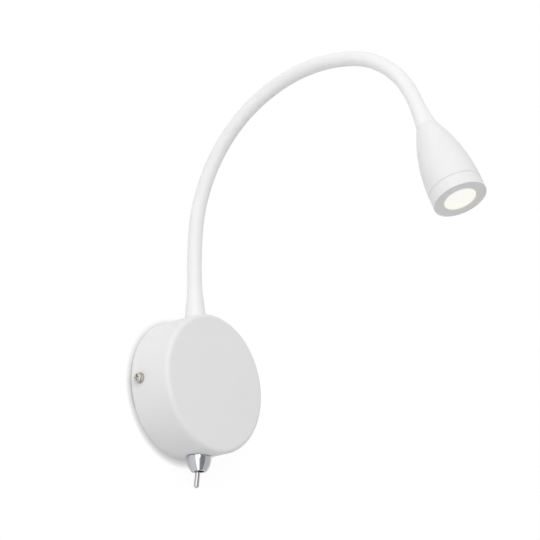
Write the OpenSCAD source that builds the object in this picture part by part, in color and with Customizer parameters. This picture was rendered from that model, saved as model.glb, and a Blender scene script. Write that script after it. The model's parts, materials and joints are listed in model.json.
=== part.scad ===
// Wall reading lamp: a drum canopy with a toggle switch under it, and a flexible neck with a small spot head.
// The origin is the centre of the wall plate's back face. X is to the right, Y into the wall and Z up.

/* [Canopy] */
// Outside diameter of the drum
canopy_d = 90; // [88:1:110]
// Depth of the drum, from its rim to its front face
canopy_depth = 31; // [30:0.5:40]
// Wall thickness of the drum
canopy_wall = 1.2; // [0.8:0.1:1.6]
// Radius of the rounded front edge
canopy_edge_r = 3; // [2:0.25:5]
// Shadow gap between the rim and the wall
canopy_rim_gap = 0.4; // [0.2:0.1:1]
// Distance from the wall to the axis of the neck and the switch
stem_setback = 15; // [14:0.5:17]

/* [Wall plate] */
// Thickness of the plate and its ears
plate_t = 1.5; // [1.2:0.1:2]
// Height of the plate
plate_h = 26; // [24:1:32]
// Distance between the two wall screws
wall_screw_spacing = 60; // [56:1:66]
// Diameter of the wall screw holes
wall_screw_hole_d = 4.5; // [4:0.1:5.5]
// Height of the ears that take the side screws
ear_h = 14; // [10:1:16]
// How far the ears reach past the side screws
ear_margin = 5; // [4:0.5:8]
// Diameter of the cable hole in the bushing
cable_hole_d = 8; // [6:0.5:9]
// Wall thickness of the cable bushing
cable_bushing_wall = 1.2; // [1:0.1:1.6]
// Thickness of the bushing's flange
cable_flange_t = 1.5; // [1:0.1:2]
// How far the bushing's flange reaches past the plate's hole
cable_flange_w = 2; // [1:0.25:2.5]

/* [Side screws] */
// Thread diameter of the side screws
side_screw_d = 3; // [2.5:0.5:4]
// Length of the side screws under the head
side_screw_l = 8; // [6:0.5:12]
// Diameter of the pan heads
side_head_d = 6; // [5.5:0.1:7]
// Height of the pan heads
side_head_h = 2.2; // [1.8:0.1:2.6]
// Outside diameter of the washers under the heads
side_washer_d = 7.2; // [6.5:0.1:8.5]
// Thickness of the washers under the heads
side_washer_t = 0.9; // [0.5:0.1:1.2]
// Distance from the wall to the side screws
side_screw_setback = 8; // [7:0.5:9]

/* [Terminals] */
// Distance from the plate's middle to the terminal block's middle
terminal_x = 17; // [16:0.5:18]
// Width of the terminal block, along its wires
terminal_w = 14; // [12:0.5:15]
// Height of the terminal block above the plate
terminal_depth = 13; // [11:0.5:15]
// Distance between two poles
pole_pitch = 8; // [7.5:0.25:9]
// Outside diameter of the brass tubes
tube_d = 4.2; // [3.8:0.1:4.8]
// Bore of the brass tubes
tube_bore_d = 3; // [2.6:0.1:3.2]
// Thread diameter of the clamping screws
clamp_screw_d = 2.5; // [2:0.1:2.6]
// Distance between the two clamping screws of a pole
clamp_spacing = 6.5; // [6:0.25:7]
// Thread diameter of the screws that hold the block
block_screw_d = 2; // [1.8:0.1:2.2]
// Distance from the plate's middle to the earth screw
earth_x = 17; // [15:0.5:19]
// Thread diameter of the earth screw
earth_screw_d = 4; // [3:0.5:4]

/* [Driver] */
// Width of the driver case
driver_w = 24; // [20:0.5:25]
// Length of the driver case
driver_l = 42; // [36:0.5:43]
// Depth of the driver case with its cover
driver_h = 18; // [15:0.5:19]
// Wall thickness of the driver case
driver_wall = 1.4; // [1.2:0.1:1.8]
// Thickness of the mounting pad
driver_pad_t = 1; // [0.6:0.1:1.5]
// Distance from the driver case's side to the pad's edge
driver_pad_margin = 2; // [0.5:0.5:4]
// Thickness of the circuit board
driver_board_t = 1.6; // [1:0.1:2]
// Height of the posts under the circuit board
driver_post_h = 4; // [3:0.25:5]

/* [Switch] */
// Outside diameter of the chrome dome nut
dome_d = 16; // [15:0.25:18]
// Height of the dome nut
dome_h = 9.4; // [8.8:0.1:10]
// Radius of the dome nut's curved side
dome_side_r = 15.5; // [12.25:0.25:17]
// Thread diameter of the switch bushing
bushing_d = 6; // [5.8:0.05:6.4]
// Bore of the switch bushing
bushing_bore_d = 4.6; // [4.5:0.05:4.7]
// Length of the switch bushing below its frame
bushing_l = 9.5; // [9:0.1:10]
// Width of the switch body, along the throw of its lever
switch_w = 13; // [12.5:0.25:15]
// Thickness of the switch body
switch_t = 8; // [7:0.25:9]
// Height of the switch body
switch_h = 9; // [8:0.25:11]
// Diameter of the lever where it leaves the bushing
lever_d = 2.9; // [2.5:0.05:3]
// Diameter of the lever's round tip
lever_tip_d = 3.3; // [2.2:0.05:3.4]
// Length of the lever from its pivot to its tip
lever_reach = 18; // [14:0.25:19]
// Full throw of the lever, in degrees
lever_throw = 20; // [16:0.5:20]
// Distance from the bushing's mouth up to the lever's pivot
lever_pivot_depth = 2.85; // [2.6:0.05:3]

/* [Neck] */
// Outside diameter of the neck
neck_d = 9.4; // [9:0.1:11]
// Diameter of the wound steel core
core_d = 6.4; // [6:0.1:6.8]
// Diameter of the lead inside the core
lead_d = 3; // [2.4:0.1:3.2]
// Diameter of the flare on the canopy
root_flare_d = 14; // [13.6:0.1:16]
// Diameter of the flare on the head
head_flare_d = 12.8; // [12.4:0.1:13]
// Half angle of both flares, in degrees
flare_angle = 6.5; // [6:0.25:8]
// Radius that blends the flares into the neck
flare_blend_r = 90; // [60:5:100]
// Length of the stiff root, from the canopy to the first bending point
root_l = 28; // [26:0.5:36]
// Length of the stiff end, from the last bending point to the head
end_l = 22; // [21:0.5:30]
// Distance between two bending points
link_pitch = 30.2; // [24:0.2:36]
// Bend of the first link, in degrees
turn_start = 7; // [2:0.25:14]
// Bend of each link in the rising stretch, in degrees
turn_rise = 18; // [8:0.25:24]
// Bend of each link at the crown, in degrees
turn_crown = 15.25; // [6:0.25:24]
// Bend of each link in the drop, in degrees
turn_drop = 25.5; // [8:0.25:28]

/* [Neck fittings] */
// Thread diameter of the root ferrule
root_thread_d = 10; // [9.6:0.1:10.6]
// Flange diameter of the root ferrule
root_flange_d = 12; // [11.6:0.1:12.4]
// Thread diameter of the head ferrule
head_thread_d = 8; // [7:0.1:8.4]
// Flange diameter of the head ferrule
head_flange_d = 10.6; // [10:0.1:11]
// Thickness of both ferrules' flanges
flange_t = 1.6; // [1.2:0.1:2]
// Outside diameter of the ferrules' crimped sockets
socket_d = 8; // [7.8:0.05:8.2]
// Length of the crimped sockets
socket_l = 10; // [8:0.5:12]

/* [Head] */
// Largest diameter of the head
head_d = 33; // [32.5:0.25:40]
// Length of the head
head_l = 55; // [54:0.5:66]
// Diameter of the head where it meets the neck
head_top_d = 13; // [13:0.1:14]
// Length of the front ring that shows
ring_l = 8; // [7:0.25:11]
// Diameter of the light window in the front ring
window_d = 20.6; // [18:0.2:22]
// Thickness of the ring's front flange
ring_front_t = 1.6; // [1.2:0.1:2]
// Thickness of the lens behind the ring's flange
lens_t = 2.2; // [1.6:0.1:3]
// Distance from the ring's front back to the lens's face
lens_setback = 0.3; // [0.1:0.1:0.8]
// Thickness of the light board
led_board_t = 1.6; // [1:0.1:2]
// Side of the two light chips
chip_size = 3; // [2.4:0.1:3.4]
// Distance of the two light chips from the axis
chip_offset = 4.2; // [3.6:0.1:4.4]
// Length of the heat sink
sink_l = 17; // [14:0.5:18]
// Width of the hairline seam between the ring and the shell
seam_gap = 0.2; // [0.1:0.05:0.4]

/* [Clearances] */
// Radial clearance of threads, sockets and other fitted pieces
fit_gap = 0.05; // [0.02:0.01:0.08]
// Clearance of screws in plain holes
hole_gap = 0.2; // [0.15:0.05:0.3]
// Clearance between pieces that move against each other
moving_gap = 0.3; // [0.3:0.02:0.4]

/* [Hidden] */
$fn = 64;
cut = 1;
sliver = 0.01;
last_link = 10;
links = [0:last_link];

// Canopy and plate
canopy_r = canopy_d / 2;
canopy_in_r = canopy_r - canopy_wall;
canopy_in_front = canopy_rim_gap + canopy_depth - canopy_wall;
canopy_in_edge_r = max(canopy_edge_r - canopy_wall, 0.4);
ear_x = sqrt(pow(canopy_in_r, 2) - pow(ear_h / 2, 2)) - moving_gap;
cable_bushing_r = cable_hole_d / 2 + cable_bushing_wall;
earth_boss_r = earth_screw_d / 2 + 1.6;
earth_boss_h = 1.5;
earth_head_d = 8;
earth_head_h = 2.5;

// Terminal block: three poles, one above the other
pole_count = 3;
terminal_h = pole_count * pole_pitch;
tube_depth = terminal_depth / 2;
clamp_hole_d = clamp_screw_d + 2 * hole_gap;
block_head_d = 3.2;
block_head_h = 1.2;

// Driver
driver_x = 19;
driver_z = 3;
driver_front = canopy_in_front - driver_pad_t;
driver_cover_t = driver_wall;
driver_lip_h = 2;
driver_post_r = 1.6;
driver_port_r = lead_d / 2 + 0.7;
driver_mid_y = -driver_front + driver_h / 2;
driver_top_z = driver_z + driver_l / 2;
driver_bottom_z = driver_z - driver_l / 2;
light_port_shift = -7;
neutral_port_shift = 1;
live_port_shift = -6;
light_port_x = driver_x + light_port_shift;
neutral_port_x = driver_x + neutral_port_shift;
live_port_x = driver_x + live_port_shift;

// Switch, measured on the canopy's vertical axis
lock_washer_d = 10;
lock_washer_t = 0.6;
switch_nut_w = 8;
switch_nut_h = 2;
switch_frame_t = 0.8;
switch_seat = sqrt(pow(canopy_in_r, 2) - pow(lock_washer_d / 2, 2));
switch_frame_z = -switch_seat + lock_washer_t + switch_nut_h;
switch_body_z = switch_frame_z + switch_frame_t;
bushing_mouth_z = switch_frame_z - bushing_l;
lever_pivot_z = bushing_mouth_z + lever_pivot_depth;
lever_ball_r = bushing_bore_d / 2 - moving_gap;
lever_tail_r = 0.6;
lever_tail_l = switch_body_z + 2 - lever_pivot_z;
dome_mouth_z = -canopy_r - dome_h;
dome_mouth_r = max(lever_d, lever_tip_d) / 2 / cos(lever_throw / 2)
    + (lever_pivot_z - dome_mouth_z) * tan(lever_throw / 2) + moving_gap;
rocker_l = 7.6;
rocker_w = 2.4;
rocker_t = 0.6;
rocker_bead_r = 0.8;
rocker_tilt = 8;
rocker_z = lever_pivot_z + lever_tail_l + moving_gap + rocker_bead_r;
switch_cavity_z = rocker_z + rocker_bead_r + moving_gap;
lug_pitch = 4.7;
lug_w = 2;
lug_t = 0.8;
lug_l = 4;

// Neck: link 0 stands on the canopy, and the last link ends at the head
neck_r = neck_d / 2;
core_r = core_d / 2;
sleeve_in_r = core_r + fit_gap;
core_in_r = lead_d / 2 + 0.45;
joint_ball_r = neck_r + 0.7;
root_z = canopy_r;
root_washer_d = 16;
root_washer_t = 0.8;
root_nut_w = 14;
root_nut_h = 3;
root_seat = sqrt(pow(canopy_in_r, 2) - pow(root_washer_d / 2, 2));
root_thread_end = root_seat - root_washer_t - root_nut_h - 2;
socket_r = socket_d / 2;

// Head, measured along its axis from the neck to the face
head_r = head_d / 2;
shell_l = head_l - ring_l - seam_gap;
shell_side_r = (pow(shell_l, 2) + pow(head_r - head_top_d / 2, 2)) / (head_d - head_top_d);
shell_wall = 1.7;
spigot_l = 5;
spigot_wall = 2;
spigot_r = head_r - shell_wall - fit_gap;
stack_r = spigot_r - spigot_wall;
ring_back = head_l - ring_l - spigot_l;
lens_back = head_l - ring_front_t - lens_t;
board_back = ring_back;
board_front = board_back + led_board_t;
sink_back = board_back - sink_l;
sink_r = min(stack_r, shell_r(sink_back) - shell_wall);
head_seat = 11;
head_washer_t = 0.8;
head_nut_w = 13;
head_nut_h = 4;
head_washer_r = head_nut_w / 2 + 0.8;
nut_space_r = shell_r(head_seat) - shell_wall;
head_thread_end = head_seat + head_washer_t + head_nut_h + 2;
chip_h = 0.7;
chip_turn = 64;
led_screw_d = 2;
led_screw_l = 5;
led_head_d = 3.6;
led_head_h = 1.3;
led_screw_offset = stack_r - led_head_d / 2 - 0.8;
holder_floor_r = norm([chip_offset + chip_size / 2, chip_size / 2]) + 0.4;
holder_mouth_r = window_d / 2 + 0.5;
lead_hole_y = 5;
lead_hole_r = lead_d / 2 + 0.4;
fin_t = 1.6;
fin_count = 4;
sink_base_t = 5;
sink_stem_r = lead_hole_y + lead_hole_r + 1.2;

// Radius of the head shell's outside at a distance from the neck
function shell_r(z) = head_r - shell_side_r + sqrt(pow(shell_side_r, 2) - pow(shell_l - z, 2));

// Name of one link's piece, such as neck_core_03
function link_name(piece, k) = str(piece, k < 10 ? "_0" : "_", k);

// Bend, length, starting direction and starting point of each link, in the plane x = 0
function link_turn(k) =
    k == 0 || k == last_link ? 0 : k == 1 ? turn_start : k <= 4 ? turn_rise : k <= 7 ? turn_crown : turn_drop;
function link_length(k) = k == 0 ? root_l : k == last_link ? end_l : link_pitch;
function link_angle(k) = k == 0 ? 0 : link_angle(k - 1) + link_turn(k - 1);
function bend_radius(k) = link_length(k) * 180 / (PI * link_turn(k));
function arc_step(k, share) =
    let (a = link_angle(k), t = link_turn(k) * share)
    link_turn(k) == 0
        ? link_length(k) * share * [0, -sin(a), cos(a)]
        : bend_radius(k) * [0, cos(a + t) - cos(a), sin(a + t) - sin(a)];
function link_start(k) = k == 0 ? [0, -stem_setback, root_z] : link_start(k - 1) + arc_step(k - 1, 1);
head_angle = link_angle(last_link);
head_start = link_start(last_link) + arc_step(last_link, 1);

// A point of the head's own frame, in the part's frame
function head_point(p) = head_start + [
    p.x,
    p.y * cos(head_angle) - p.z * sin(head_angle),
    p.y * sin(head_angle) + p.z * cos(head_angle)
];

// Smooth curve through a list of points, with some steps between each two
function smooth_route(p, steps) = [
    for (i = [0:len(p) - 2], j = [0:steps - 1])
        let (a = p[max(i - 1, 0)], b = p[i], c = p[i + 1], d = p[min(i + 2, len(p) - 1)], t = j / steps)
        0.5 * (2 * b + (c - a) * t
            + (2 * a - 5 * b + 4 * c - d) * t * t
            + (3 * b - a - 3 * c + d) * t * t * t),
    p[len(p) - 1]
];

// Route of the light's lead: driver, ferrule, neck, ferrule and the hole in the heat sink
lead_in_canopy = [
    [light_port_x, driver_mid_y, driver_top_z - driver_wall],
    [light_port_x, driver_mid_y, driver_top_z + 2.5],
    [light_port_x / 2, (driver_mid_y - stem_setback) / 2, (driver_top_z + root_thread_end) / 2],
    [0, -stem_setback, root_thread_end - 3],
    [0, -stem_setback, root_thread_end + 1]
];
lead_in_neck = [for (k = links, share = [0, 0.25, 0.5, 0.75]) link_start(k) + arc_step(k, share)];
lead_in_head = [
    head_point([0, 0, 0]),
    head_point([0, 0, head_thread_end]),
    head_point([0, lead_hole_y, sink_back]),
    head_point([0, lead_hole_y, board_back - 0.1])
];

// Routes of the mains leads: terminals to switch, switch to driver, terminals to driver
lead_exit_x = -terminal_x - terminal_w / 2;
lead_exit_y = -plate_t - tube_depth;
lug_top_z = switch_body_z + switch_h + lug_l;
mains_lead_d = 2;
neutral_lead_bow = 5;
neutral_lead_rise = 4;
mains_routes = [
    [
        [lead_exit_x + 3, lead_exit_y, -pole_pitch],
        [lead_exit_x - 3, lead_exit_y, -pole_pitch - 1],
        [lead_exit_x - 3, -13, -18],
        [-10, -15, -21],
        [-lug_pitch, -stem_setback, lug_top_z + 2.5],
        [-lug_pitch, -stem_setback, lug_top_z + moving_gap]
    ],
    [
        [0, -stem_setback, lug_top_z + moving_gap],
        [0, -stem_setback, lug_top_z + 2.5],
        [6, (driver_mid_y - stem_setback) / 2, lug_top_z + 4],
        [live_port_x, driver_mid_y, driver_bottom_z - 3],
        [live_port_x, driver_mid_y, driver_bottom_z + driver_wall]
    ],
    [
        [lead_exit_x + 3, lead_exit_y, pole_pitch],
        [lead_exit_x - 3, lead_exit_y, pole_pitch + 1],
        [lead_exit_x - 2, -16, 18],
        [-6, driver_mid_y - neutral_lead_bow, driver_top_z + neutral_lead_rise],
        [light_port_x + 2, driver_mid_y - neutral_lead_bow, driver_top_z + neutral_lead_rise + 1],
        [neutral_port_x, driver_mid_y, driver_top_z + 3],
        [neutral_port_x, driver_mid_y, driver_top_z - driver_wall]
    ]
];

// Shared shapes

// Turns local Z away from the wall
module off_wall(x = 0, z = 0, distance = 0) {
    translate([x, -distance, z]) rotate([90, 0, 0]) children();
}

module on_stem(z = 0) {
    translate([0, -stem_setback, z]) children();
}

module on_link(k) {
    translate(link_start(k)) rotate([link_angle(k), 0, 0]) children();
}

module on_head(z = 0) {
    translate(head_start) rotate([head_angle, 0, 0]) translate([0, 0, z]) children();
}

module ring(r_out, r_in, h) {
    linear_extrude(h) difference() {
        circle(r_out);
        circle(r_in);
    }
}

module hex_nut(width, h, bore_r) {
    difference() {
        cylinder(h = h, d = width / cos(30), $fn = 6);
        translate([0, 0, -cut]) cylinder(h = h + 2 * cut, r = bore_r);
    }
}

// Drum with a rounded far edge, from z = 0 up
module drum(r, depth, edge) {
    rotate_extrude() difference() {
        square([r, depth]);
        translate([r - edge, depth - edge]) difference() {
            square(edge + cut);
            circle(edge);
        }
    }
}

// Pan-head screw with a cross recess; the head's seat is at z = 0 and the shank points down
module pan_screw(d, l, head_d, head_h) {
    difference() {
        union() {
            drum(head_d / 2, head_h, head_h / 2);
            translate([0, 0, -l]) cylinder(h = l + head_h / 2, d = d);
        }
        for (a = [0, 90])
            rotate(a) translate([0, 0, head_h])
                cube([head_d * 0.62, head_d * 0.15, head_h], center = true);
    }
}

// Polygon tube swept along points; across is a direction that the route never takes
module swept_lead(points, d, across) {
    sides = 8;
    n = len(points);
    rings = [
        for (i = [0:n - 1])
            let (
                along = points[min(i + 1, n - 1)] - points[max(i - 1, 0)],
                u = cross(along, across) / norm(cross(along, across)),
                v = cross(along, u) / norm(along)
            )
            for (j = [0:sides - 1])
                points[i] + d / 2 * (cos(360 * j / sides) * u + sin(360 * j / sides) * v)
    ];
    walls = [
        for (i = [0:n - 2], j = [0:sides - 1])
            let (a = i * sides + j, b = i * sides + (j + 1) % sides)
            each [[a, b, b + sides], [a, b + sides, a + sides]]
    ];
    near_cap = [for (j = [1:sides - 2]) [0, j + 1, j]];
    far_cap = [for (j = [1:sides - 2]) [n * sides - 1, (n - 1) * sides + j - 1, (n - 1) * sides + j]];
    polyhedron(rings, concat(walls, near_cap, far_cap));
}

// Outline of a flare that runs out into the neck, with its axis on x = 0
module flare_outline(end_r, l) {
    arc_steps = 8;
    blend_l = flare_blend_r * sin(flare_angle);
    cone_l = (end_r - neck_r - flare_blend_r * (1 - cos(flare_angle))) / tan(flare_angle);
    polygon(concat(
        [[0, 0], [end_r, 0]],
        [
            for (i = [0:arc_steps])
                let (a = flare_angle * (1 - i / arc_steps))
                [neck_r + flare_blend_r * (1 - cos(a)), cone_l + blend_l - flare_blend_r * sin(a)]
        ],
        [[neck_r, l], [0, l]]
    ));
}

// Round tube along a link's own bend; it starts a little before the link does
module bent_tube(k, r_out, r_in) {
    lead_in = 1.5 * joint_ball_r;
    if (link_turn(k) == 0)
        translate([0, 0, -lead_in]) ring(r_out, r_in, link_length(k) + lead_in);
    else
        translate([0, -bend_radius(k), 0]) rotate(a = 120, v = [1, 1, 1])
            rotate_extrude(
                angle = link_turn(k) * (1 + lead_in / link_length(k)),
                start = -link_turn(k) * lead_in / link_length(k)
            )
                translate([bend_radius(k), 0]) difference() {
                    circle(r_out);
                    circle(r_in);
                }
}

// Rounds a link's near end to a ball about its bending point
module ball_end() {
    reach = 4 * joint_ball_r;
    difference() {
        children();
        difference() {
            translate([-reach / 2, -reach / 2, -reach]) cube(reach);
            sphere(joint_ball_r);
        }
    }
}

// Hollows a link's far end for the next link's ball
module socket_end(k) {
    t = link_turn(k);
    far = t == 0
        ? [0, 0, link_length(k)]
        : bend_radius(k) * [0, cos(t) - 1, sin(t)];
    difference() {
        children();
        translate(far) rotate([t, 0, 0]) sphere(joint_ball_r + moving_gap);
    }
}

// Wall plate and terminals

module wall_plate() {
    color("silver") difference() {
        union() {
            intersection() {
                off_wall() cylinder(h = plate_t, r = canopy_in_r - moving_gap);
                translate([-ear_x, -plate_t, -plate_h / 2]) cube([2 * ear_x, plate_t, plate_h]);
            }
            for (side = [0, 1])
                mirror([side, 0, 0])
                    translate([ear_x - plate_t, -side_screw_setback - ear_margin, -ear_h / 2])
                        cube([plate_t, side_screw_setback + ear_margin, ear_h]);
            off_wall(earth_x) cylinder(h = plate_t + earth_boss_h, r = earth_boss_r);
        }
        for (side = [-1, 1])
            off_wall(side * wall_screw_spacing / 2, 0, -cut)
                cylinder(h = plate_t + 2 * cut, d = wall_screw_hole_d);
        off_wall(0, 0, -cut) cylinder(h = plate_t + 2 * cut, r = cable_bushing_r + fit_gap);
        off_wall(earth_x, 0, -cut)
            cylinder(h = plate_t + earth_boss_h + 2 * cut, r = earth_screw_d / 2 + fit_gap);
        for (side = [-1, 1])
            off_wall(-terminal_x, side * pole_pitch / 2, -cut)
                cylinder(h = plate_t + 2 * cut, r = block_screw_d / 2 + fit_gap);
        translate([0, -side_screw_setback, 0]) rotate([0, 90, 0])
            cylinder(h = canopy_d, r = side_screw_d / 2 + fit_gap, center = true);
    }
}

module cable_bushing() {
    color("dimgray") off_wall() difference() {
        union() {
            cylinder(h = plate_t + cable_flange_t, r = cable_bushing_r);
            translate([0, 0, plate_t]) cylinder(h = cable_flange_t, r = cable_bushing_r + cable_flange_w);
        }
        translate([0, 0, -cut]) cylinder(h = plate_t + cable_flange_t + 2 * cut, d = cable_hole_d);
    }
}

// The poles lie one above the other, with their wires along X
module at_poles() {
    for (i = [0:pole_count - 1])
        translate([-terminal_x, -plate_t - tube_depth, (i - (pole_count - 1) / 2) * pole_pitch]) children();
}

module at_clamps() {
    at_poles()
        for (side = [-1, 1])
            translate([side * clamp_spacing / 2, 0, 0]) rotate([90, 0, 0]) children();
}

module terminal_block() {
    color("ivory") difference() {
        translate([-terminal_x - terminal_w / 2, -plate_t - terminal_depth, -terminal_h / 2])
            cube([terminal_w, terminal_depth, terminal_h]);
        at_poles() rotate([0, 90, 0])
            cylinder(h = terminal_w + 2 * cut, r = tube_d / 2 + fit_gap, center = true);
        at_clamps() cylinder(h = terminal_depth, d = clamp_hole_d);
        for (side = [-1, 1])
            off_wall(-terminal_x, side * pole_pitch / 2, plate_t - cut) {
                cylinder(h = terminal_depth + 2 * cut, r = block_screw_d / 2 + fit_gap);
                translate([0, 0, cut + terminal_depth - block_head_h])
                    cylinder(h = block_head_h + cut, r = block_head_d / 2 + fit_gap);
            }
    }
}

module terminal_tubes() {
    color("goldenrod") difference() {
        at_poles() rotate([0, 90, 0]) translate([0, 0, -terminal_w / 2])
            ring(tube_d / 2, tube_bore_d / 2, terminal_w);
        at_clamps() cylinder(h = terminal_depth, r = clamp_screw_d / 2 + fit_gap);
    }
}

module terminal_screws() {
    screw_l = terminal_depth / 2 - tube_bore_d / 2 - 1;
    color("silver") at_clamps() translate([0, 0, tube_bore_d / 2]) difference() {
        cylinder(h = screw_l, d = clamp_screw_d);
        translate([0, 0, screw_l]) cube([clamp_screw_d + cut, 0.5, 1], center = true);
    }
}

module terminal_fixing_screws() {
    color("silver")
        for (side = [-1, 1])
            off_wall(-terminal_x, side * pole_pitch / 2, plate_t + terminal_depth - block_head_h)
                pan_screw(block_screw_d, plate_t + terminal_depth - block_head_h, block_head_d, block_head_h);
}

module earth_screw() {
    color("goldenrod") off_wall(earth_x, 0, plate_t + earth_boss_h)
        pan_screw(earth_screw_d, plate_t + earth_boss_h, earth_head_d, earth_head_h);
}

// Canopy and its screws

module canopy() {
    color("whitesmoke") difference() {
        off_wall(0, 0, canopy_rim_gap) drum(canopy_r, canopy_depth, canopy_edge_r);
        off_wall(0, 0, -cut) drum(canopy_in_r, canopy_in_front + cut, canopy_in_edge_r);
        on_stem() cylinder(h = canopy_d, r = root_thread_d / 2 + hole_gap);
        on_stem(-canopy_d) cylinder(h = canopy_d, r = bushing_d / 2 + hole_gap);
        translate([0, -side_screw_setback, 0]) rotate([0, 90, 0])
            cylinder(h = canopy_d + 2 * cut, r = side_screw_d / 2 + hole_gap, center = true);
    }
}

// Both sides, with local Z pointing out of the drum
module at_side_screws() {
    for (side = [-1, 1])
        translate([side * canopy_r, -side_screw_setback, 0]) rotate([0, side * 90, 0]) children();
}

module side_screws() {
    color("silver") at_side_screws() translate([0, 0, side_washer_t])
        pan_screw(side_screw_d, side_screw_l, side_head_d, side_head_h);
}

module side_screw_washers() {
    color("silver") at_side_screws() ring(side_washer_d / 2, side_screw_d / 2 + hole_gap, side_washer_t);
}

// Driver, with local Z from the canopy's front towards the wall

module on_driver(z = 0) {
    translate([driver_x, -driver_front, driver_z]) rotate([-90, 0, 0]) translate([0, 0, z]) children();
}

module block(w, l, h) {
    translate([-w / 2, -l / 2, 0]) cube([w, l, h]);
}

// Hole for a lead through one end wall of the case
module driver_port(x, end) {
    translate([x - driver_x, end * driver_l / 2, driver_h / 2]) rotate([90, 0, 0])
        cylinder(h = 4 * driver_wall, r = driver_port_r, center = true);
}

module driver_case() {
    inner_w = driver_w - 2 * driver_wall;
    inner_l = driver_l - 2 * driver_wall;
    color("gainsboro") on_driver() {
        difference() {
            block(driver_w, driver_l, driver_h - driver_cover_t);
            translate([0, 0, driver_wall]) block(inner_w, inner_l, driver_h);
            driver_port(light_port_x, -1);
            driver_port(neutral_port_x, -1);
            driver_port(live_port_x, 1);
        }
        for (x = [-1, 1], y = [-1, 1])
            translate([x * (inner_w / 2 - 2), y * (inner_l / 2 - 2), driver_wall / 2])
                cylinder(h = driver_wall / 2 + driver_post_h, r = driver_post_r);
    }
}

module driver_cover() {
    lip_w = driver_w - 2 * driver_wall - 2 * hole_gap;
    lip_l = driver_l - 2 * driver_wall - 2 * hole_gap;
    color("gainsboro") on_driver(driver_h - driver_cover_t) {
        block(driver_w, driver_l, driver_cover_t);
        difference() {
            translate([0, 0, -driver_lip_h]) block(lip_w, lip_l, driver_lip_h + driver_cover_t / 2);
            translate([0, 0, -driver_lip_h - cut])
                block(lip_w - 2 * driver_wall, lip_l - 2 * driver_wall, driver_lip_h + cut);
        }
    }
}

module driver_board() {
    color("darkgreen") on_driver(driver_wall + driver_post_h)
        block(driver_w - 2 * (driver_wall + hole_gap), driver_l - 2 * (driver_wall + hole_gap), driver_board_t);
}

module driver_pad() {
    color("white") on_driver(-driver_pad_t)
        block(driver_w - 2 * driver_pad_margin, driver_l - 2 * driver_pad_margin, driver_pad_t);
}

module mains_leads() {
    color("saddlebrown")
        for (route = mains_routes)
            swept_lead(smooth_route(route, 4), mains_lead_d, [0.1, 1, 0.2]);
}

// Switch

module switch_body() {
    color("royalblue") on_stem() difference() {
        translate([0, 0, switch_body_z]) block(switch_w, switch_t, switch_h);
        translate([0, 0, switch_body_z - cut])
            block(
                rocker_l + 6 * moving_gap,
                rocker_w + 4 * moving_gap,
                switch_cavity_z - switch_body_z + cut);
        for (i = [-1, 0, 1])
            translate([i * lug_pitch, 0, switch_cavity_z]) block(lug_t, lug_w, switch_h);
    }
}

module switch_bushing() {
    color("silver") on_stem() difference() {
        union() {
            translate([0, 0, switch_frame_z]) block(switch_w, switch_t, switch_frame_t);
            translate([0, 0, bushing_mouth_z]) cylinder(h = bushing_l + switch_frame_t / 2, d = bushing_d);
        }
        translate([0, 0, bushing_mouth_z - cut])
            cylinder(h = bushing_l + switch_frame_t + 2 * cut, d = bushing_bore_d);
    }
}

// The lever rests against its left stop
module switch_lever() {
    shank_l = lever_reach - lever_tip_d / 2;
    color("silver") on_stem(lever_pivot_z) rotate([0, lever_throw / 2, 0]) {
        sphere(lever_ball_r);
        translate([0, 0, -shank_l]) cylinder(h = shank_l, d1 = lever_tip_d, d2 = lever_d);
        translate([0, 0, -shank_l]) sphere(d = lever_tip_d);
        cylinder(h = lever_tail_l - lever_tail_r, r = lever_tail_r);
        translate([0, 0, lever_tail_l - lever_tail_r]) sphere(lever_tail_r);
    }
}

module switch_rocker() {
    color("goldenrod") on_stem(rocker_z) rotate([0, -rocker_tilt, 0]) {
        translate([0, 0, -rocker_t / 2]) block(rocker_l, rocker_w, rocker_t);
        rotate([90, 0, 0]) cylinder(h = rocker_w, r = rocker_bead_r, center = true);
    }
}

module switch_lugs() {
    color("silver") on_stem()
        for (i = [-1, 0, 1])
            translate([i * lug_pitch, 0, switch_cavity_z]) block(lug_t, lug_w, lug_top_z - switch_cavity_z);
}

module switch_lock_washer() {
    color("silver") on_stem(-switch_seat) ring(lock_washer_d / 2, bushing_d / 2 + hole_gap, lock_washer_t);
}

module switch_nut() {
    color("silver") on_stem(-switch_seat + lock_washer_t)
        hex_nut(switch_nut_w, switch_nut_h, bushing_d / 2 + fit_gap);
}

module switch_dome_nut() {
    thread_l = -canopy_r - bushing_mouth_z + moving_gap;
    color("lightsteelblue") on_stem(-canopy_r) difference() {
        rotate_extrude() intersection() {
            translate([dome_d / 2 - dome_side_r, 0]) circle(dome_side_r);
            translate([0, -dome_h]) square([dome_d, dome_h]);
        }
        translate([0, 0, -thread_l]) cylinder(h = thread_l + cut, r = bushing_d / 2 + fit_gap);
        translate([0, 0, -dome_h - cut]) cylinder(h = dome_h - thread_l + cut, r = dome_mouth_r);
    }
}

// Neck and its fittings

// Flange at z = 0 to flange_t, socket above it and thread below it
module ferrule(thread_d, thread_l, flange_d) {
    color("silver") difference() {
        union() {
            cylinder(h = flange_t, d = flange_d);
            cylinder(h = flange_t + socket_l, r = socket_r);
            translate([0, 0, -thread_l]) cylinder(h = thread_l + flange_t, d = thread_d);
        }
        translate([0, 0, flange_t]) cylinder(h = socket_l + cut, r = core_r + fit_gap);
        translate([0, 0, -thread_l - cut]) cylinder(h = thread_l + flange_t + 2 * cut, r = core_in_r);
    }
}

module neck_root_ferrule() {
    on_stem(root_z) ferrule(root_thread_d, root_z - root_thread_end, root_flange_d);
}

module neck_root_washer() {
    color("silver") on_stem(root_seat - root_washer_t)
        ring(root_washer_d / 2, root_thread_d / 2 + hole_gap, root_washer_t);
}

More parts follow.
